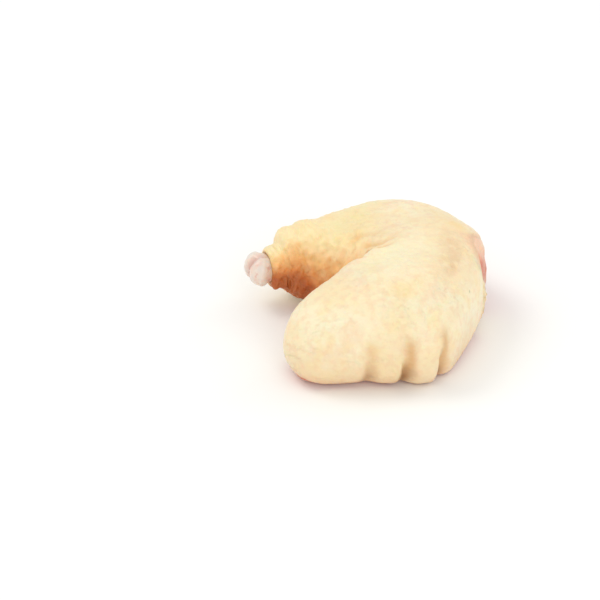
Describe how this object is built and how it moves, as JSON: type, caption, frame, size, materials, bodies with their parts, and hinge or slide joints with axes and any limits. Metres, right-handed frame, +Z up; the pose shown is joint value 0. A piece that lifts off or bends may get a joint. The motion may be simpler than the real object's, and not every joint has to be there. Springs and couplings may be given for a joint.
{
  "type": "raw chicken leg quarter",
  "caption": "Raw chicken leg quarter, thigh and drumstick joined and bent at the knee, lying skin side up, with flesh bare underneath and the ankle knuckle showing.",
  "frame": {"origin": "middle of the footprint, on the resting plane", "axes": "+X along the drumstick from the ankle towards the knee, +Y from the thigh towards the drumstick, +Z up, skin side up"},
  "size_m": [0.121, 0.1294, 0.0501],
  "materials": {
    "skin": "moist raw poultry skin, cream yellow with fine pores",
    "meat": "moist raw poultry flesh, pink to red",
    "bone": "pale pinkish gristle over bone"
  },
  "bodies": {
    "root": {"skin": "skin", "meat": "meat", "shank_bone": "bone"}
  },
  "joints": []
}
